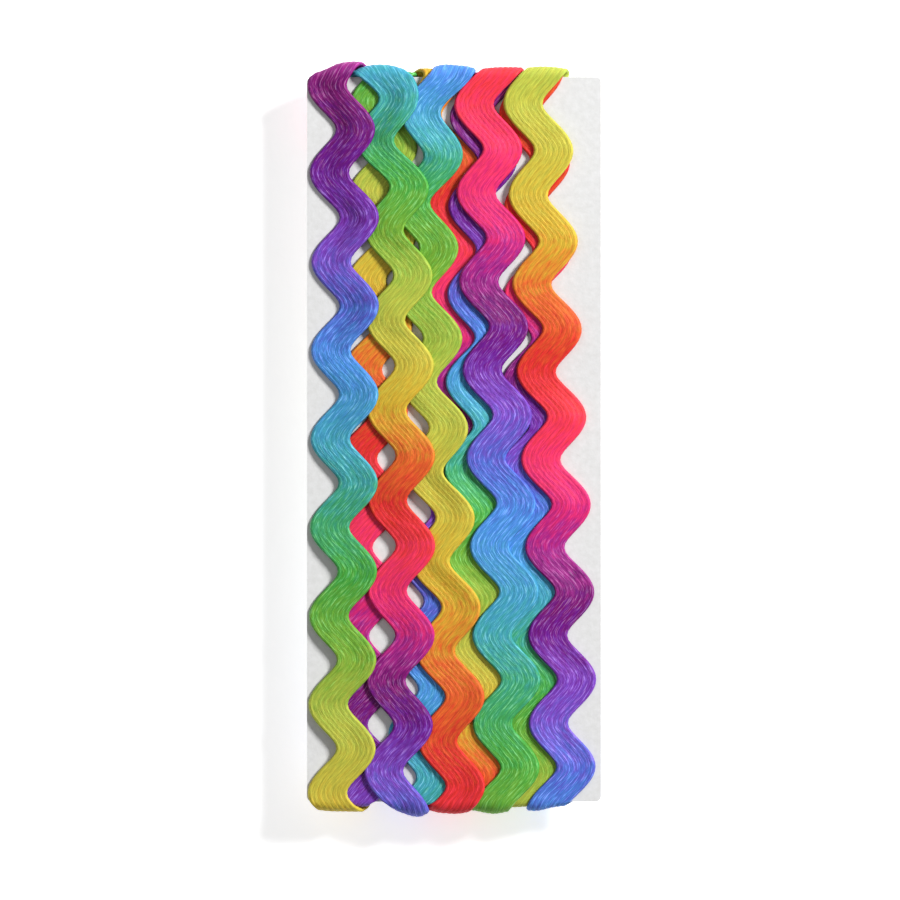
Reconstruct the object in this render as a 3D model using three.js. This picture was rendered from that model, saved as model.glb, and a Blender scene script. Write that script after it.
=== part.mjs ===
// Ric rac wound round a flat card: one long wavy braid that goes down the front and up the back, turn after turn.
// Millimetres. X runs across the card, Y up along it, and Z up from the surface that the back lies on.

import * as THREE from "three";

const CARD_WIDTH = 55.2;
const CARD_HEIGHT = 136;
const CARD_THICKNESS = 0.8;
const CARD_CORNER = 1;
const CORNER_STEPS = 4;

// The braid is a flat band whose two edges swing from side to side, with round bulges and sharp inner corners.
const BRAID_THICKNESS = 1;
const BAND_WIDTH = 7.4;
const OVERALL_WIDTH = 12.7;
const WAVELENGTH = 16.6;
const HALF_BAND = BAND_WIDTH / 2;
const SWING = (OVERALL_WIDTH - BAND_WIDTH) / 2;
const CORNER_SHARPNESS = 1.45;

// How the braid lies on the card. A bend goes round a centre line a little inside the card's edge.
const CARD_GAP = 0.35;
const TURN_GAP = 0.12;
const BEND_INSET = 0.1;
const BEND_RADIUS = CARD_THICKNESS / 2 + CARD_GAP;
const BEND_LENGTH = 4.5;
const STRAIGHT = CARD_HEIGHT - 2 * BEND_INSET;
const HALF_TURN = STRAIGHT + BEND_LENGTH;
const TURN = 2 * HALF_TURN;
const LAYER = BRAID_THICKNESS + TURN_GAP;

// Each pass down the front. top, upper and foot are its middle's X at the card's top, 28 mm lower and at its foot.
// bulge is how far below the card's top its first bulge to the left is, and wave its wavelength down to there.
const UPPER = 28;
const PASSES = [
  { top: -13.2, upper: -13.4, foot: -17.0, bulge: 4.9, wave: 16.6 },
  { top: -4.4, upper: 0.5, foot: -6.0, bulge: 6.6, wave: 16.6 },
  { top: 5.9, upper: 5.7, foot: 4.5, bulge: 6.7, wave: 16.6 },
  { top: 14.8, upper: 16.1, foot: 13.5, bulge: 6.6, wave: 17.2 },
  { top: 15.4, upper: 16.8, foot: 20.0, bulge: 5.0, wave: 17.2 },
  { top: 6.6, upper: 7.1, foot: 9.5, bulge: 4.9, wave: 16.6 },
  { top: -2.8, upper: -5.7, foot: -0.6, bulge: 6.5, wave: 16.5 },
  { top: -13.0, upper: -10.5, foot: -10.8, bulge: 12.1, wave: 16.6 },
  { top: -21.1, upper: -20.4, foot: -21.1, bulge: 1.4, wave: 16.6 },
];
const START_TAIL = 12;
const END_TAIL = 5;
const FIRST = -BEND_LENGTH - START_TAIL;
const LAST = (PASSES.length - 1) * TURN + HALF_TURN + END_TAIL;

// Two turns of the back, one on each side, lie level, and the card rests flat on them.
const LEVEL_TURNS = [4, 6];
const LEVEL_MARGIN = 14;

// How the sections of the braid are spaced, and how far along it a height is evened out.
const ROWS_PER_WAVE = 6;
const COLUMNS = [0, 0.5, 1];
const BEND_STEPS = 6;
const CLEAR_OF_BEND = 0.8;
const EVEN_OUT = 3.2;
const EDGE_MARGIN = 0.1;
const LOOKS = 5;

const BOARD_COLOUR = "#ecebe6";
const BRAID_COLOUR = "#c9408c";

// The middle's X and the phase, each as knots [distance along the braid, value].
function middleKnots() {
  const knots = PASSES.flatMap((pass, turn) => [
    [turn * TURN, pass.top],
    [turn * TURN + UPPER, pass.upper],
    [turn * TURN + STRAIGHT, pass.foot],
  ]);
  return [[FIRST, PASSES[0].top], ...knots, [LAST, PASSES.at(-1).foot]];
}

// A phase is whole at a bulge to the left. Between the tops of two passes the braid stretches a little to fit.
function phaseKnots() {
  const knots = [];
  PASSES.forEach((pass, turn) => {
    const along = turn * TURN;
    const part = -pass.bulge / pass.wave;
    const [lastAlong, lastPhase] = knots.at(-1) ?? [along, part];
    const whole = Math.round(lastPhase + (along - lastAlong) / WAVELENGTH - part);
    const phase = whole + part;
    knots.push([along, phase], [along + UPPER, phase + UPPER / pass.wave]);
  });
  const [firstAlong, firstPhase] = knots[0];
  const [lastAlong, lastPhase] = knots.at(-1);
  knots.unshift([FIRST, firstPhase + (FIRST - firstAlong) / WAVELENGTH]);
  knots.push([LAST, lastPhase + (LAST - lastAlong) / WAVELENGTH]);
  return knots;
}

function segmentOf(knots, along) {
  const next = knots.findIndex(([at]) => at > along);
  return THREE.MathUtils.clamp(next < 0 ? knots.length - 2 : next - 1, 0, knots.length - 2);
}

function onLine(knots, along) {
  const i = segmentOf(knots, along);
  const [[a, from], [b, to]] = [knots[i], knots[i + 1]];
  return from + ((to - from) * (along - a)) / (b - a);
}

// A smooth curve through the knots, whose slope at each knot is that between its neighbours.
function onCurve(knots, along) {
  const i = segmentOf(knots, along);
  const [a, from] = knots[i];
  const [b, to] = knots[i + 1];
  const slope = (k) => {
    const [before, after] = [knots[Math.max(k - 1, 0)], knots[Math.min(k + 1, knots.length - 1)]];
    return (after[1] - before[1]) / (after[0] - before[0]);
  };
  const t = (along - a) / (b - a);
  const ease = t * t * (3 - 2 * t);
  const bow = t * (1 - t) * (b - a);
  return from + (to - from) * ease + bow * (slope(i) * (1 - t) - slope(i + 1) * t);
}

const MIDDLE = middleKnots();
const PHASE = phaseKnots();

function swing(phase) {
  return SWING * (2 * Math.abs(Math.cos(Math.PI * phase)) ** CORNER_SHARPNESS - 1);
}

function edges(along) {
  const middle = onCurve(MIDDLE, along);
  const phase = onLine(PHASE, along);
  return {
    left: middle - HALF_BAND - swing(phase),
    right: middle + HALF_BAND + swing(phase + 0.5),
  };
}

// Where along its turn a distance lies: on the front, round the foot, on the back or round the top.
function stretchOf(along) {
  const turn = Math.floor(along / TURN);
  const inTurn = along - turn * TURN;
  const onBack = inTurn >= HALF_TURN;
  const inHalf = onBack ? inTurn - HALF_TURN : inTurn;
  return { turn, onBack, inHalf, inBend: inHalf >= STRAIGHT };
}

// The place of a point of the braid, with Z from the card's middle. height is its distance from the lowest layer.
function place(along, x, height) {
  const { onBack, inHalf, inBend } = stretchOf(along);
  const side = onBack ? -1 : 1;
  const reach = BEND_RADIUS + height;
  const angle = inBend ? (Math.PI * (inHalf - STRAIGHT)) / BEND_LENGTH : 0;
  const y = STRAIGHT / 2 - Math.min(inHalf, STRAIGHT) + (inBend ? -reach * Math.sin(angle) : 0);
  return new THREE.Vector3(x, side * y, side * reach * Math.cos(angle));
}

// Distances of the braid's sections: in step with the waves on the flat, and by even angles round a bend.
function sectionDistances() {
  const found = [];
  const firstWave = Math.ceil(PHASE[0][1] * ROWS_PER_WAVE);
  const lastWave = Math.floor(PHASE.at(-1)[1] * ROWS_PER_WAVE);
  const byPhase = PHASE.map(([along, phase]) => [phase, along]);
  for (let step = firstWave; step <= lastWave; step++) {
    const along = onLine(byPhase, step / ROWS_PER_WAVE);
    const { inHalf } = stretchOf(along);
    if (inHalf > CLEAR_OF_BEND && inHalf < STRAIGHT - CLEAR_OF_BEND) found.push(along);
  }
  for (let half = -1; half < 2 * PASSES.length - 1; half++) {
    const bendStart = half * HALF_TURN + STRAIGHT;
    for (let step = 0; step <= BEND_STEPS; step++) {
      found.push(bendStart + (BEND_LENGTH * step) / BEND_STEPS);
    }
  }
  const inside = found.filter((along) => along > FIRST + CLEAR_OF_BEND && along < LAST - CLEAR_OF_BEND);
  return [FIRST, ...inside.sort((a, b) => a - b), LAST];
}

// The heights of an earlier stretch of the braid at a distance along it, one for each column.
function heightsAt(rows, along, upTo) {
  let [from, to] = [0, upTo];
  while (to - from > 1) {
    const half = (from + to) >> 1;
    if (rows[half].along > along) to = half;
    else from = half;
  }
  const share = (along - rows[from].along) / (rows[to].along - rows[from].along);
  return COLUMNS.map((_, column) => THREE.MathUtils.lerp(rows[from].low[column], rows[to].low[column], share));
}

// The highest point of an earlier turn between two shares of its width.
function highestBetween(heights, from, to) {
  const knots = COLUMNS.map((share, column) => [share, heights[column]]);
  const inside = knots.filter(([share]) => share > from && share < to).map(([, height]) => height);
  return Math.max(onLine(knots, from), onLine(knots, to), ...inside);
}

// The least height of each column at one distance along: over every earlier turn beneath the strips on its two sides.
function leastHeights(along, rows, upTo) {
  const needs = COLUMNS.map(() => 0);
  const own = edges(along);
  const xAt = (column) => THREE.MathUtils.lerp(own.left, own.right, COLUMNS[column]);
  for (let under = along - TURN; under >= FIRST; under -= TURN) {
    const { left, right } = edges(under);
    const heights = heightsAt(rows, under, upTo);
    const shareOf = (x) => THREE.MathUtils.clamp((x - left) / (right - left), 0, 1);
    for (let strip = 0; strip < COLUMNS.length - 1; strip++) {
      const from = Math.max(left - EDGE_MARGIN, xAt(strip));
      const to = Math.min(right + EDGE_MARGIN, xAt(strip + 1));
      if (to <= from) continue;
      const height = highestBetween(heights, shareOf(from), shareOf(to)) + LAYER;
      needs[strip] = Math.max(needs[strip], height);
      needs[strip + 1] = Math.max(needs[strip + 1], height);
    }
  }
  return needs;
}

// Distances at and around a row, as far as the rows next to it.
function looksAround(rows, i) {
  const [before, here, after] = [rows[Math.max(i - 1, 0)], rows[i], rows[Math.min(i + 1, rows.length - 1)]];
  const steps = Array.from({ length: LOOKS }, (_, step) => step / LOOKS);
  return steps.flatMap((share) => [
    THREE.MathUtils.lerp(here.along, before.along, share),
    THREE.MathUtils.lerp(here.along, after.along, share),
  ]);
}

// The rows within reach of one of them, along the braid.
function nearby(rows, middle, upTo) {
  let [from, to] = [middle, middle];
  while (from > 0 && rows[middle].along - rows[from - 1].along <= EVEN_OUT) from--;
  while (to < upTo - 1 && rows[to + 1].along - rows[middle].along <= EVEN_OUT) to++;
  return rows.slice(from, to + 1);
}

// Evens out the heights along the braid without letting any section go lower than it may.
function evenOut(rows, from, upTo) {
  for (let i = from; i < upTo; i++) {
    const near = nearby(rows, i, upTo);
    rows[i].most = COLUMNS.map((_, column) => Math.max(...near.map((row) => row.need[column])));
  }
  for (let i = from; i < upTo; i++) {
    const near = nearby(rows, i, upTo);
    const mean = (column) => near.reduce((sum, row) => sum + row.most[column], 0) / near.length;
    rows[i].low = COLUMNS.map((_, column) => mean(column));
  }
}

function isLevelled(along) {
  const { turn, onBack, inHalf } = stretchOf(along);
  const clearOfBends = inHalf > LEVEL_MARGIN && inHalf < STRAIGHT - LEVEL_MARGIN;
  return onBack && clearOfBends && LEVEL_TURNS.includes(turn);
}

// Lays the braid on turn by turn, each over what is already there. level is the height of the level turns.
function wind(level) {
  const rows = sectionDistances().map((along) => ({ along, ...edges(along) }));
  const unsettled = 2 * ROWS_PER_WAVE;
  let done = 0;
  for (let end = HALF_TURN; done < rows.length; end += HALF_TURN) {
    const start = done;
    while (done < rows.length && rows[done].along < end) {
      const least = isLevelled(rows[done].along) ? level : 0;
      const looks = looksAround(rows, done).map((along) => leastHeights(along, rows, start - 1));
      rows[done].need = COLUMNS.map((_, column) => Math.max(least, ...looks.map((needs) => needs[column])));
      done++;
    }
    evenOut(rows, Math.max(start - unsettled, 0), done);
  }
  return rows;
}

function highestOnBack(rows) {
  const back = rows.filter((row) => stretchOf(row.along).onBack);
  return Math.max(...back.flatMap((row) => row.low));
}

function braidGeometry(rows) {
  const corners = rows.flatMap((row) => {
    const column = (share, i, rise) =>
      place(row.along, THREE.MathUtils.lerp(row.left, row.right, share), row.low[i] + rise);
    const outer = COLUMNS.map((share, i) => column(share, i, BRAID_THICKNESS));
    const inner = COLUMNS.map((share, i) => column(share, i, 0));
    return [...outer, ...inner.reverse()];
  });
  const sides = 2 * COLUMNS.length;
  const faces = [];
  for (let row = 0; row < rows.length - 1; row++) {
    for (let side = 0; side < sides; side++) {
      const a = row * sides + side;
      const b = row * sides + ((side + 1) % sides);
      faces.push(a, a + sides, b, b, a + sides, b + sides);
    }
  }
  const last = (rows.length - 1) * sides;
  for (let strip = 0; strip < COLUMNS.length - 1; strip++) {
    const [a, b, c, d] = [strip, strip + 1, sides - 2 - strip, sides - 1 - strip];
    faces.push(a, b, c, a, c, d, last + a, last + c, last + b, last + a, last + d, last + c);
  }
  const geometry = new THREE.BufferGeometry().setFromPoints(corners);
  geometry.setIndex(faces);
  geometry.computeVertexNormals();
  return geometry;
}

function cardGeometry() {
  const [x, y, r] = [CARD_WIDTH / 2, CARD_HEIGHT / 2, CARD_CORNER];
  const outline = new THREE.Shape();
  outline.absarc(x - r, y - r, r, 0, Math.PI / 2);
  outline.absarc(r - x, y - r, r, Math.PI / 2, Math.PI);
  outline.absarc(r - x, r - y, r, Math.PI, 1.5 * Math.PI);
  outline.absarc(x - r, r - y, r, 1.5 * Math.PI, 2 * Math.PI);
  const settings = { depth: CARD_THICKNESS, bevelEnabled: false, curveSegments: CORNER_STEPS };
  const geometry = new THREE.ExtrudeGeometry(outline, settings);
  geometry.translate(0, 0, -CARD_THICKNESS / 2);
  return geometry;
}

function piece(name, geometry, colour, roughness) {
  const material = new THREE.MeshStandardMaterial({ color: colour, roughness, metalness: 0 });
  const mesh = new THREE.Mesh(geometry, material);
  mesh.name = name;
  return mesh;
}

function woundCard() {
  const level = highestOnBack(wind(0));
  const braid = piece("ric_rac", braidGeometry(wind(level)), BRAID_COLOUR, 0.6);
  const card = piece("card_core", cardGeometry(), BOARD_COLOUR, 0.8);
  const group = new THREE.Group();
  group.add(card, braid);
  const box = new THREE.Box3().setFromObject(group);
  const middle = box.getCenter(new THREE.Vector3());
  group.position.set(-middle.x, -middle.y, -box.min.z);
  return group;
}

export default woundCard();
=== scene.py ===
"""Ric rac wound on a flat white card: the ribbed braid, its rainbow print, the board and a pale studio."""

import bpy
import numpy as np
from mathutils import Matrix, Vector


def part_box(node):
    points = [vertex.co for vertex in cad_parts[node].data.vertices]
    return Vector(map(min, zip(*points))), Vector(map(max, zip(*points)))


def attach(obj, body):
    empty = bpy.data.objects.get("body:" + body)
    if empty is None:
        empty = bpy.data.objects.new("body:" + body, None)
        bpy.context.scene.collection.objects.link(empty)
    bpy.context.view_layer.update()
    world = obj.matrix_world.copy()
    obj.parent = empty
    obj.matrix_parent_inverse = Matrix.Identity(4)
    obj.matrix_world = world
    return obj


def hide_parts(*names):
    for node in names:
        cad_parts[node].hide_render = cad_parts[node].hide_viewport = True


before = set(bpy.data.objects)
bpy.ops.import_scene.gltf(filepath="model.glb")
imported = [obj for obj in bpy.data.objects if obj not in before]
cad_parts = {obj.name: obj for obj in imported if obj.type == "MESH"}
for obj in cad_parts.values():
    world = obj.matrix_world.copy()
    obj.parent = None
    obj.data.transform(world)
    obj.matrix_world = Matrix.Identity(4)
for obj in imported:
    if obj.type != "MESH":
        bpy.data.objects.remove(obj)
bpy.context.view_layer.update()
card_low, card_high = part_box("card_core")
card_middle = (card_low + card_high) / 2
MM = 0.001

# The photo's frame: the card's middle and top edge in its pixels, and a pixel's size on the card's face.
# The camera stands CAMERA_HEIGHT metres above the card.
FRAME_PIXELS = 900
PIXEL = 0.1877 * MM
CARD_MIDDLE_PIXEL = 454
CARD_TOP_PIXEL = 77
CAMERA_HEIGHT = 1.2
SENSOR_WIDTH = 36

# The wound braid, in millimetres. It repeats the winding of the CAD source, with the passes fitted a little
# closer to the photo.
BAND_WIDTH = 7.4
OVERALL_WIDTH = 12.7
WAVELENGTH = 16.6
HALF_BAND = BAND_WIDTH / 2
SWING = (OVERALL_WIDTH - BAND_WIDTH) / 2
CORNER_SHARPNESS = 1.25
CORNER_ROUNDING = 0.16
BEND_INSET = 0.1
BEND_LENGTH = 4.5
CARD_SIZE = (card_high - card_low) / MM
STRAIGHT = CARD_SIZE.y - 2 * BEND_INSET
HALF_TURN = STRAIGHT + BEND_LENGTH
TURN = 2 * HALF_TURN
UPPER = 28
START_TAIL = 12
END_TAIL = 5

# Each pass down the front. top, upper and foot are its middle's X at the card's top, UPPER lower and at its
# foot. bulge is how far below the card's top its first bulge to the left is, and wave is its wavelength.
# hue and upper_hue are the place in the rainbow at the top and UPPER lower, in whole rainbows.
# crown is how far the braid's middle stands out past its edges at the pass's two bends, and fan is how much
# further each edge stands out at the upper one.
PASS_COLUMNS = ("top", "upper", "foot", "bulge", "wave", "hue", "upper_hue", "crown", "fan")
PASSES = [
    dict(zip(PASS_COLUMNS, row))
    for row in (
        (-13.2, -13.4, -17.0, 4.9, 16.6, 0.63, 0.83, 0.3, 0.0),
        (-4.6, 0.3, -6.0, 7.5, 16.6, 1.885, 2.03, 0.3, 0.0),
        (5.3, 5.2, 4.5, 7.5, 16.6, 3.18, 3.25, 0.3, 0.0),
        (14.3, 15.8, 13.5, 7.1, 17.2, 4.98, 5.00, 0.3, 0.0),
        (15.4, 16.8, 20.0, 5.0, 17.2, 6.775, 6.88, 0.3, 0.0),
        (6.6, 7.0, 9.5, 5.1, 16.7, 8.04, 8.12, 0.3, 0.0),
        (-2.8, -5.6, -0.6, 6.5, 17.0, 9.40, 9.665, 1.1, 0.4),
        (-13.0, -10.5, -10.8, 12.1, 16.6, 10.49, 10.685, 1.4, 1.1),
        (-21.1, -20.4, -21.1, 1.4, 16.6, 12.185, 12.27, 0.2, 0.0),
    )
]
HUE_PER_TURN = 1.5
FIRST = -BEND_LENGTH - START_TAIL
LAST = (len(PASSES) - 1) * TURN + HALF_TURN + END_TAIL

# The braid is thin. A turn lies LAYER above the inner face of one that it crosses, and CARD_GAP off the card.
THICKNESS = 0.66
EDGE_THICKNESS = 0.3
LAYER = 0.69
CARD_GAP = 0.06
BEND_RADIUS = CARD_SIZE.z / 2 + CARD_GAP

# The back's slack grows over SLACK_EASE from a bend, and its lowest turn is level past LEVEL_MARGIN.
SLACK_EASE = 24
LEVEL_TURNS = (7,)
LEVEL_MARGIN = 14

# A crown is lowered by CROWN_LEVEL of its height, and a fan narrows over FAN_REACH from the bend's middle.
CROWN_LEVEL = 0.6
FAN_REACH = 7

# The mesh's rows along the braid. Those of the flat stretches stay CLEAR_OF_BEND of a bend's own rows.
ROWS_PER_WAVE = 20
BEND_STEPS = 12
CLEAR_OF_BEND = 0.4

# The columns of heights across the braid. They are evened out over ALONG_REACH millimetres and ACROSS_REACH
# columns each way, and a column within EDGE_MARGIN of an earlier turn's edge still lies over it.
HEIGHT_COLUMNS = 13
ALONG_REACH = 2.6
ACROSS_REACH = 2
EDGE_MARGIN = 0.15

# The points across the outer and the inner face.
RIBS = 8
POINTS_PER_RIB = 3
RIB_DEPTH = 0.11
GROOVE_SHARPNESS = 1.5
INNER_POINTS = 5
INNER_INSET = 0.03


def middle_knots():
    """The middle's X as knots (distance along the braid, X)."""
    knots = [(FIRST, PASSES[0]["top"])]
    for turn, row in enumerate(PASSES):
        start = turn * TURN
        knots += [(start, row["top"]), (start + UPPER, row["upper"]), (start + STRAIGHT, row["foot"])]
    return np.array([*knots, (LAST, PASSES[-1]["foot"])])


def phase_knots():
    """The wave's phase, whole at each bulge to the left. Between passes the braid stretches a little."""
    knots = []
    for turn, row in enumerate(PASSES):
        along = turn * TURN
        part = -row["bulge"] / row["wave"]
        last_along, last_phase = knots[-1] if knots else (along, part)
        whole = round(last_phase + (along - last_along) / WAVELENGTH - part)
        knots += [(along, whole + part), (along + UPPER, whole + part + UPPER / row["wave"])]
    return with_ends(knots, 1 / WAVELENGTH)


def hue_knots():
    """The print's place in the rainbow along the braid, in whole rainbows."""
    knots = []
    for turn, row in enumerate(PASSES):
        knots += [(turn * TURN, row["hue"]), (turn * TURN + UPPER, row["upper_hue"])]
    return with_ends(knots, HUE_PER_TURN / TURN)


def with_ends(knots, slope):
    """The knots carried on to both ends of the braid at an even slope."""
    (first_along, first), (last_along, last) = knots[0], knots[-1]
    start = (FIRST, first + (FIRST - first_along) * slope)
    end = (LAST, last + (LAST - last_along) * slope)
    return np.array([start, *knots, end])


def on_line(knots, along):
    return np.interp(along, knots[:, 0], knots[:, 1])


def on_curve(knots, along):
    """A smooth curve through the knots, whose slope at each knot is that between its neighbours."""
    at, value = knots.T
    before, after = np.maximum(np.arange(len(at)) - 1, 0), np.minimum(np.arange(len(at)) + 1, len(at) - 1)
    slope = (value[after] - value[before]) / (at[after] - at[before])
    i = np.clip(np.searchsorted(at, along, side="right") - 1, 0, len(at) - 2)
    t = (along - at[i]) / (at[i + 1] - at[i])
    ease = t * t * (3 - 2 * t)
    bow = t * (1 - t) * (at[i + 1] - at[i])
    return value[i] + (value[i + 1] - value[i]) * ease + bow * (slope[i] * (1 - t) - slope[i + 1] * t)


MIDDLE = middle_knots()
PHASE = phase_knots()
HUE = hue_knots()


def swing(phase):
    """How far an edge stands out: round at its bulges, and tighter at the inner corners between them."""
    out = np.hypot(np.cos(np.pi * phase), CORNER_ROUNDING) - CORNER_ROUNDING
    share = out / (np.hypot(1, CORNER_ROUNDING) - CORNER_ROUNDING)
    return SWING * (2 * share**CORNER_SHARPNESS - 1)


def at_nearest_top(name, along):
    """A value of the pass whose top is nearest along the braid, and the distance past that top."""
    turn = np.clip(np.round(along / TURN), 0, len(PASSES) - 1).astype(int)
    return np.array([row[name] for row in PASSES])[turn], along - turn * TURN


def fan(along):
    """How much further each edge stands out over the card's top."""
    most, past_top = at_nearest_top("fan", along)
    return most * smooth_step(1 - np.abs(past_top + BEND_LENGTH / 2) / FAN_REACH)


def edges(along):
    """The X of the braid's left and right edge."""
    middle, phase = on_curve(MIDDLE, along), on_line(PHASE, along)
    half = HALF_BAND + fan(along)
    return middle - half - swing(phase), middle + half + swing(phase + 0.5)


def row_distances():
    """Where the rows are along the braid: in step with the waves, and by even angles round a bend."""
    first, last = np.ceil(PHASE[0, 1] * ROWS_PER_WAVE), np.floor(PHASE[-1, 1] * ROWS_PER_WAVE)
    steps = np.arange(first, last + 1) / ROWS_PER_WAVE
    flat = np.interp(steps, PHASE[:, 1], PHASE[:, 0])
    in_half = flat % HALF_TURN
    flat = flat[(in_half > CLEAR_OF_BEND) & (in_half < STRAIGHT - CLEAR_OF_BEND)]
    bend = BEND_LENGTH * np.arange(BEND_STEPS + 1) / BEND_STEPS
    bends = [half * HALF_TURN + STRAIGHT + bend for half in range(-1, 2 * len(PASSES) - 1)]
    found = np.sort(np.concatenate([flat, *bends]))
    inside = found[(found > FIRST + CLEAR_OF_BEND) & (found < LAST - CLEAR_OF_BEND)]
    return np.concatenate([[FIRST], inside, [LAST]])


def smooth_step(x):
    t = np.clip(x, 0, 1)
    return t * t * (3 - 2 * t)


def across(heights, share):
    """Each row's heights at shares of the braid's width, between its columns."""
    place = np.clip(share, 0, 1) * (HEIGHT_COLUMNS - 1)
    i = np.minimum(place.astype(int), HEIGHT_COLUMNS - 2)
    row = np.arange(len(heights))[:, None]
    return heights[row, i] + (heights[row, i + 1] - heights[row, i]) * (place - i)


class Winding:
    """The braid's rows, and at each row and column its inner face's height above the lowest layer."""

    def __init__(self):
        self.along = row_distances()
        self.left, self.right = edges(self.along)
        self.share = np.linspace(0, 1, HEIGHT_COLUMNS)
        self.half = np.floor(self.along / HALF_TURN).astype(int)
        self.in_half = self.along - self.half * HALF_TURN
        self.on_back = self.half % 2 == 1

    def base(self, slack, level):
        """Each row's least height by itself: the back's slack, and the level of its lowest turn."""
        in_from_bend = np.minimum(self.in_half, STRAIGHT - self.in_half)
        base = np.where(self.on_back, slack * smooth_step(in_from_bend / SLACK_EASE), 0)
        levelled = np.isin(self.half // 2, LEVEL_TURNS) & self.on_back & (in_from_bend > LEVEL_MARGIN)
        return np.where(levelled, level, base)

    def over(self, rows, under, low, start):
        """How high the columns of these rows lie over an earlier turn, or 0 beside it."""
        left, right = edges(under)
        own_left, own_width = self.left[rows], self.right[rows] - self.left[rows]
        x = own_left[:, None] + self.share * own_width[:, None]
        share = (x - left[:, None]) / (right - left)[:, None]
        heights = np.stack([np.interp(under, self.along[:start], column[:start]) for column in low.T], 1)
        margin = EDGE_MARGIN / (right - left)[:, None]
        return np.where((share > -margin) & (share < 1 + margin), across(heights, share) + LAYER, 0)

    def evened(self, need, along):
        """Heights evened out along and across the braid, nowhere lower than they need to be."""
        most = need.copy()
        for step in range(1, ACROSS_REACH + 1):
            most[:, step:] = np.maximum(most[:, step:], need[:, :-step])
            most[:, :-step] = np.maximum(most[:, :-step], need[:, step:])
        start = np.searchsorted(along, along - ALONG_REACH)
        end = np.searchsorted(along, along + ALONG_REACH, side="right")
        highest = np.array([most[a:b].max(0) for a, b in zip(start, end)])
        total = np.concatenate([np.zeros((1, HEIGHT_COLUMNS)), np.cumsum(highest, 0)])
        mean = (total[end] - total[start]) / (end - start)[:, None]
        padded = np.pad(mean, ((0, 0), (ACROSS_REACH, ACROSS_REACH)), mode="edge")
        shifts = range(2 * ACROSS_REACH + 1)
        return sum(padded[:, shift : shift + HEIGHT_COLUMNS] for shift in shifts) / len(shifts)

    def wind(self, slack, level):
        """Lays the braid on half a turn at a time, each over what is already there."""
        need = np.repeat(self.base(slack, level)[:, None], HEIGHT_COLUMNS, 1)
        low = need.copy()
        for half in range(self.half[0], self.half[-1] + 1):
            rows = np.flatnonzero(self.half == half)
            start, end = rows[0], rows[-1] + 1
            under = self.along[rows] - TURN
            while under[-1] >= FIRST:
                there = under >= FIRST
                found = self.over(rows[there], under[there], low, start)
                need[rows[there]] = np.maximum(need[rows[there]], found)
                under = under - TURN
            low[:end] = self.evened(need[:end], self.along[:end])
        self.low = low
        return self

    def height_of_back(self):
        return self.low[self.on_back].max()


def wound_braid():
    """The winding, its back slack enough to reach the surface that the CAD's back lies on."""
    level = card_middle.z / MM - BEND_RADIUS - THICKNESS
    tight = Winding().wind(0, 0).height_of_back()
    return Winding().wind(max(level - tight, 0), level)


def outer_profile():
    """Shares of the width and rises of the outer face: round ribs, narrow grooves and a rounded edge."""
    share = np.linspace(0, 1, RIBS * POINTS_PER_RIB + 1)
    groove = np.abs(np.cos(np.pi * share * RIBS)) ** GROOVE_SHARPNESS
    edge = np.minimum(share, 1 - share) * BAND_WIDTH
    roll = np.sqrt(1 - (1 - np.clip(edge / EDGE_THICKNESS, 0, 1)) ** 2)
    top = THICKNESS - RIB_DEPTH * groove
    return share, EDGE_THICKNESS + (top - EDGE_THICKNESS) * roll


def inner_profile():
    """Shares of the width and rises of the flat inner face, in the order that closes the section."""
    share = np.linspace(1 - INNER_INSET, INNER_INSET, INNER_POINTS)
    return share, np.zeros(INNER_POINTS)


def braid_points(winding):
    """The mesh's points in metres, and for each its distance along the braid and its rib."""
    outer_share, outer_rise = outer_profile()
    inner_share, inner_rise = inner_profile()
    share, rise = np.concatenate([outer_share, inner_share]), np.concatenate([outer_rise, inner_rise])
    x = winding.left[:, None] + share * (winding.right - winding.left)[:, None]
    side = np.where(winding.on_back, -1, 1)[:, None]
    past = np.clip(winding.in_half - STRAIGHT, 0, BEND_LENGTH)[:, None]
    angle = np.pi * past / BEND_LENGTH
    reach = BEND_RADIUS + across(winding.low, share) + rise
    most, _ = at_nearest_top("crown", winding.along)
    crown = most[:, None] * (4 * share * (1 - share) - CROWN_LEVEL)
    y = STRAIGHT / 2 - np.minimum(winding.in_half, STRAIGHT)[:, None] - (reach + crown) * np.sin(angle)
    points = np.stack([x, side * y, side * reach * np.cos(angle)], 2) * MM
    along = np.repeat(winding.along[:, None], len(share), 1)
    rib = np.repeat(share[None] * RIBS, len(winding.along), 0)
    return points + np.array(card_middle), along, rib


def braid_faces(rows, around):
    """The faces between neighbouring rows, and a cap at each end."""
    row, side = np.meshgrid(np.arange(rows - 1), np.arange(around), indexing="ij")
    here, beside = row * around + side, row * around + (side + 1) % around
    quads = np.stack([here, here + around, beside + around, beside], 2).reshape(-1, 4).tolist()
    first = list(range(around))
    last = [(rows - 1) * around + i for i in range(around)][::-1]
    return [*quads, first, last]


def add_attribute(mesh, name, values):
    attribute = mesh.attributes.new(name, "FLOAT", "POINT")
    attribute.data.foreach_set("value", np.ascontiguousarray(values, np.float32).ravel())


def make_braid():
    points, along, rib = braid_points(wound_braid())
    mesh = bpy.data.meshes.new("wound_ric_rac")
    mesh.from_pydata(points.reshape(-1, 3).tolist(), [], braid_faces(*points.shape[:2]))
    add_attribute(mesh, "print", on_line(HUE, along))
    add_attribute(mesh, "along", along)
    add_attribute(mesh, "rib", rib)
    mesh.shade_smooth()
    braid = bpy.data.objects.new("wound_ric_rac", mesh)
    bpy.context.scene.collection.objects.link(braid)
    return braid


def linear(colour):
    """An sRGB colour of 0 to 255 as the linear values that Blender takes."""
    share = np.array(colour) / 255
    value = np.where(share <= 0.04045, share / 12.92, ((share + 0.055) / 1.055) ** 2.4)
    return (*value.tolist(), 1.0)


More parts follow.
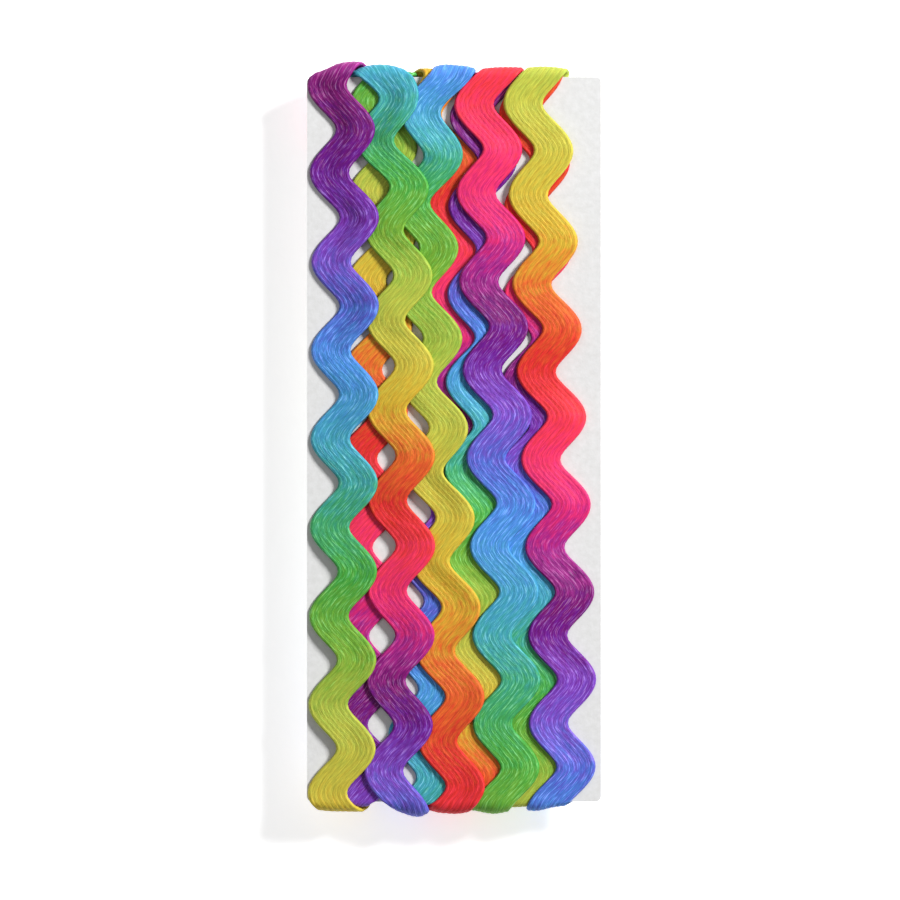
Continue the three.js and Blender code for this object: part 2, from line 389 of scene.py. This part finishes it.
class Nodes:
    """A material's node tree, built from calls."""

    def __init__(self, name):
        self.material = bpy.data.materials.new(name)
        self.material.use_nodes = True
        self.tree = self.material.node_tree
        self.shader = self.tree.nodes["Principled BSDF"]

    def add(self, kind, inputs=(), **settings):
        node = self.tree.nodes.new(kind)
        for name, value in settings.items():
            setattr(node, name, value)
        for name, value in dict(inputs).items():
            self.put(node.inputs[name], value)
        return node

    def put(self, socket, value):
        if isinstance(value, bpy.types.NodeSocket):
            self.tree.links.new(value, socket)
        else:
            socket.default_value = value

    def set(self, **values):
        for name, value in values.items():
            self.put(self.shader.inputs[name.replace("_", " ")], value)

    def read(self, name):
        return self.add("ShaderNodeAttribute", attribute_name=name).outputs["Fac"]

    def math(self, operation, *values):
        node = self.add("ShaderNodeMath", operation=operation)
        for socket, value in zip(node.inputs, values):
            self.put(socket, value)
        return node.outputs[0]

    def vector(self, x, y):
        return self.add("ShaderNodeCombineXYZ", {"X": x, "Y": y}).outputs[0]

    def noise(self, vector, scale, detail=2.0, roughness=0.5):
        inputs = {"Vector": vector, "Scale": scale, "Detail": detail, "Roughness": roughness}
        return self.add("ShaderNodeTexNoise", inputs).outputs["Fac"]

    def span(self, value, source, target):
        """The value carried over from the source's low and high to the target's, and held within them."""
        names = ("From Min", "From Max", "To Min", "To Max")
        inputs = {"Value": value, **dict(zip(names, (*source, *target)))}
        return self.add("ShaderNodeMapRange", inputs).outputs["Result"]

    def ramp(self, value, stops):
        node = self.add("ShaderNodeValToRGB", {"Fac": value})
        elements = node.color_ramp.elements
        while len(elements) < len(stops):
            elements.new(0.5)
        for element, (position, colour) in zip(elements, stops):
            element.position, element.color = position, linear(colour)
        return node.outputs["Color"]

    def scaled(self, colour, factor):
        """The colour times a grey factor."""
        node = self.add("ShaderNodeVectorMath", operation="SCALE")
        self.put(node.inputs[0], colour)
        self.put(node.inputs["Scale"], factor)
        return node.outputs[0]

    def mixed(self, colour, other, factor):
        """The colour mixed with another by a factor, through the mix node's colour sockets 6, 7 and 2."""
        node = self.add("ShaderNodeMix", {"Factor": factor}, data_type="RGBA")
        self.put(node.inputs[6], colour)
        self.put(node.inputs[7], linear(other))
        return node.outputs[2]

    def bump(self, height, distance):
        inputs = {"Height": height, "Distance": distance, "Strength": 1.0}
        return self.add("ShaderNodeBump", inputs).outputs["Normal"]


# Most of a noise's values lie between these.
NOISE_RANGE = (0.3, 0.7)

# The yarn's look, by millimetres along the braid and by ribs across it. Pairs are a low and a high value.
BLUR_STRETCH = 0.5
BLUR_SCALE = 1.1
BAND_BLUR = (-0.02, 0.02)
STRAND_STRETCH = 0.42
STRANDS_PER_RIB = 3.1
STRAND_SCALE = 1.3
STRAND_ROUGHNESS = 0.55
STRAND_SHADE = (0.76, 1.12)
# Painted shade in the grooves between the ribs: the colour is darkened most at a groove's bottom, and not at
# all past GROOVE_RANGE's high on the way to a crest.
GROOVE_RANGE = (0.0, 0.6)
PAINTED_GROOVE_SHADE = (0.84, 1.0)
# Painted highlights on the brightest strands: the strand noise's range they take, how much they lighten the
# colour, how far they mix it towards a pale tint, and that tint.
PAINTED_GLINT_RANGE = (0.52, 0.68)
PAINTED_GLINT_LIGHT = 0.55
PAINTED_GLINT_PALENESS = 0.22
PAINTED_GLINT_TINT = (235, 240, 245)
FIBRES_PER_RIB = 7.0
TWIST_RATE = 7.0
TWIST_HEIGHT = 0.08
FIBRE_DEPTH = 0.1 * MM

# Painted glints: how much painted highlight the yarn gets at each place in the rainbow, as greys,
# most in the dark and cool colours.
PAINTED_GLINTS_BY_HUE = [
    (0.00, (60, 60, 60)),
    (0.12, (90, 90, 90)),
    (0.18, (255, 255, 255)),
    (0.64, (240, 240, 240)),
    (0.75, (70, 70, 70)),
    (1.00, (60, 60, 60)),
]

# The rainbow of the print, from red round to red.
RAINBOW = [
    (0.00, (232, 44, 40)),
    (0.035, (255, 56, 72)),
    (0.08, (255, 52, 108)),
    (0.12, (226, 34, 120)),
    (0.16, (172, 30, 142)),
    (0.20, (124, 0, 116)),
    (0.24, (116, 14, 152)),
    (0.29, (130, 72, 202)),
    (0.35, (84, 104, 214)),
    (0.40, (78, 150, 238)),
    (0.46, (70, 164, 210)),
    (0.51, (66, 174, 182)),
    (0.56, (64, 174, 120)),
    (0.62, (74, 176, 66)),
    (0.69, (124, 184, 54)),
    (0.76, (188, 202, 74)),
    (0.83, (216, 202, 70)),
    (0.885, (228, 186, 52)),
    (0.94, (240, 112, 40)),
    (1.00, (232, 44, 40)),
]


def braid_material():
    """Satin yarn in ribs, printed across in bands that run into each other, with painted shade and
    highlights.
    """
    nodes = Nodes("ric_rac_yarn")
    along, rib = nodes.read("along"), nodes.read("rib")
    blur = nodes.noise(nodes.vector(nodes.math("MULTIPLY", along, BLUR_STRETCH), rib), BLUR_SCALE)
    shift = nodes.span(blur, NOISE_RANGE, BAND_BLUR)
    hue = nodes.math("FRACT", nodes.math("ADD", nodes.read("print"), shift))
    colour = nodes.ramp(hue, RAINBOW)
    crest = nodes.math("ABSOLUTE", nodes.math("SINE", nodes.math("MULTIPLY", rib, np.pi)))
    strand_along = nodes.math("MULTIPLY", along, STRAND_STRETCH)
    strand_across = nodes.math("MULTIPLY", rib, STRANDS_PER_RIB)
    strands = nodes.vector(strand_along, strand_across)
    strand = nodes.noise(strands, STRAND_SCALE, roughness=STRAND_ROUGHNESS)
    # The colour is darkened by painted shade in the grooves and by the strands' own random tone.
    painted_groove_shade = nodes.span(crest, GROOVE_RANGE, PAINTED_GROOVE_SHADE)
    shade = nodes.math("MULTIPLY", painted_groove_shade, nodes.span(strand, NOISE_RANGE, STRAND_SHADE))
    # Painted glint: a painted highlight on the crests of the brighter strands, lightening the colour and
    # mixing it towards a pale tint.
    painted_glint = nodes.math("MULTIPLY", nodes.span(strand, PAINTED_GLINT_RANGE, (0.0, 1.0)), nodes.ramp(hue, PAINTED_GLINTS_BY_HUE))
    painted_glint = nodes.math("MULTIPLY", painted_glint, crest)
    lit = nodes.scaled(colour, nodes.math("ADD", shade, nodes.math("MULTIPLY", painted_glint, PAINTED_GLINT_LIGHT)))
    nodes.set(Base_Color=nodes.mixed(lit, PAINTED_GLINT_TINT, nodes.math("MULTIPLY", painted_glint, PAINTED_GLINT_PALENESS)))
    fibres_across = nodes.math("MULTIPLY", rib, FIBRES_PER_RIB)
    fibres = nodes.noise(nodes.vector(along, fibres_across), scale=1.0, detail=3.0)
    twist = nodes.math("SINE", nodes.math("MULTIPLY", nodes.math("ADD", along, rib), TWIST_RATE))
    relief = nodes.math("ADD", nodes.math("MULTIPLY", twist, TWIST_HEIGHT), fibres)
    nodes.set(Normal=nodes.bump(relief, FIBRE_DEPTH))
    nodes.set(Roughness=0.56, Sheen_Weight=0.04, Sheen_Roughness=0.4, Specular_IOR_Level=0.25)
    return nodes.material


# The board's look: how fine its clouds, mottle and tooth are, to the metre, and their shades.
CLOUD_SCALE = 60.0
CLOUD_SHADE = (0.965, 1.0)
MOTTLE_SCALE = 900.0
BOARD_TONES = [(0.3, (224, 224, 223)), (0.7, (233, 233, 233))]
TOOTH_SCALE = 1500.0
TOOTH_DEPTH = 0.03 * MM


def board_material():
    """White uncoated board: a little mottled, with the fine tooth of its fibres."""
    nodes = Nodes("white_board")
    place = nodes.add("ShaderNodeTexCoord").outputs["Object"]
    cloudy = nodes.span(nodes.noise(place, CLOUD_SCALE, detail=4.0), NOISE_RANGE, CLOUD_SHADE)
    tone = nodes.ramp(nodes.noise(place, MOTTLE_SCALE, detail=3.0, roughness=0.6), BOARD_TONES)
    nodes.set(Base_Color=nodes.scaled(tone, cloudy))
    tooth = nodes.noise(place, TOOTH_SCALE, detail=3.0, roughness=0.6)
    nodes.set(Normal=nodes.bump(tooth, TOOTH_DEPTH))
    nodes.set(Roughness=0.72, Specular_IOR_Level=0.35)
    return nodes.material


# The studio, in metres and watts. Each light has its place, width and power.
FLOOR_HALF = 3
FLOOR_SCALE = 3.0
FLOOR_TONES = [(0.3, (246, 246, 246)), (0.7, (249, 249, 249))]
FLOOR_GLOW = 0.6
WORLD_LIGHT = 0.18
LIGHTS = {"key": ((0.92, 0.62, 0.72), 0.28, 24.5), "fill": ((-0.5, 0.1, 0.8), 0.8, 1.2)}


def floor_material():
    """A white table top that glows a little, for the photo's pure white ground."""
    nodes = Nodes("studio_floor")
    place = nodes.add("ShaderNodeTexCoord").outputs["Object"]
    nodes.set(Base_Color=nodes.ramp(nodes.noise(place, FLOOR_SCALE), FLOOR_TONES))
    nodes.set(Roughness=0.8, Specular_IOR_Level=0.2)
    nodes.set(Emission_Color=(1, 1, 1, 1), Emission_Strength=FLOOR_GLOW)
    return nodes.material


def make_camera():
    """Straight above the card, framed as the photo is."""
    data = bpy.data.cameras.new("camera")
    data.sensor_width = SENSOR_WIDTH
    data.lens = SENSOR_WIDTH * CAMERA_HEIGHT / (FRAME_PIXELS * PIXEL)
    camera = bpy.data.objects.new("camera", data)
    x = card_middle.x + (FRAME_PIXELS / 2 - CARD_MIDDLE_PIXEL) * PIXEL
    y = card_high.y - (FRAME_PIXELS / 2 - CARD_TOP_PIXEL) * PIXEL
    camera.location = (x, y, card_high.z + CAMERA_HEIGHT)
    bpy.context.scene.collection.objects.link(camera)
    bpy.context.scene.camera = camera


def make_light(name, place, size, power):
    """A square soft light that faces the middle of the card."""
    data = bpy.data.lights.new(name, "AREA")
    data.shape, data.size, data.energy = "SQUARE", size, power
    light = bpy.data.objects.new(name, data)
    light.location = place
    light.rotation_euler = (card_middle - light.location).to_track_quat("-Z", "Y").to_euler()
    bpy.context.scene.collection.objects.link(light)


def make_floor():
    mesh = bpy.data.meshes.new("studio_floor")
    corners = [(x * FLOOR_HALF, y * FLOOR_HALF, 0) for x, y in ((-1, -1), (1, -1), (1, 1), (-1, 1))]
    mesh.from_pydata(corners, [], [(0, 1, 2, 3)])
    floor = bpy.data.objects.new("studio_floor", mesh)
    bpy.context.scene.collection.objects.link(floor)
    mesh.materials.append(floor_material())


def make_studio():
    make_floor()
    world = bpy.data.worlds.new("studio")
    world.use_nodes = True
    background = world.node_tree.nodes["Background"]
    background.inputs["Color"].default_value = (1, 1, 1, 1)
    background.inputs["Strength"].default_value = WORLD_LIGHT
    bpy.context.scene.world = world
    bpy.context.scene.view_settings.view_transform = "Standard"
    for name, light in LIGHTS.items():
        make_light(name, *light)


make_camera()
braid = make_braid()
braid.data.materials.append(braid_material())
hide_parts("ric_rac")
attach(braid, "root")
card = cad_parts["card_core"]
card.data.materials[0] = board_material()
make_studio()
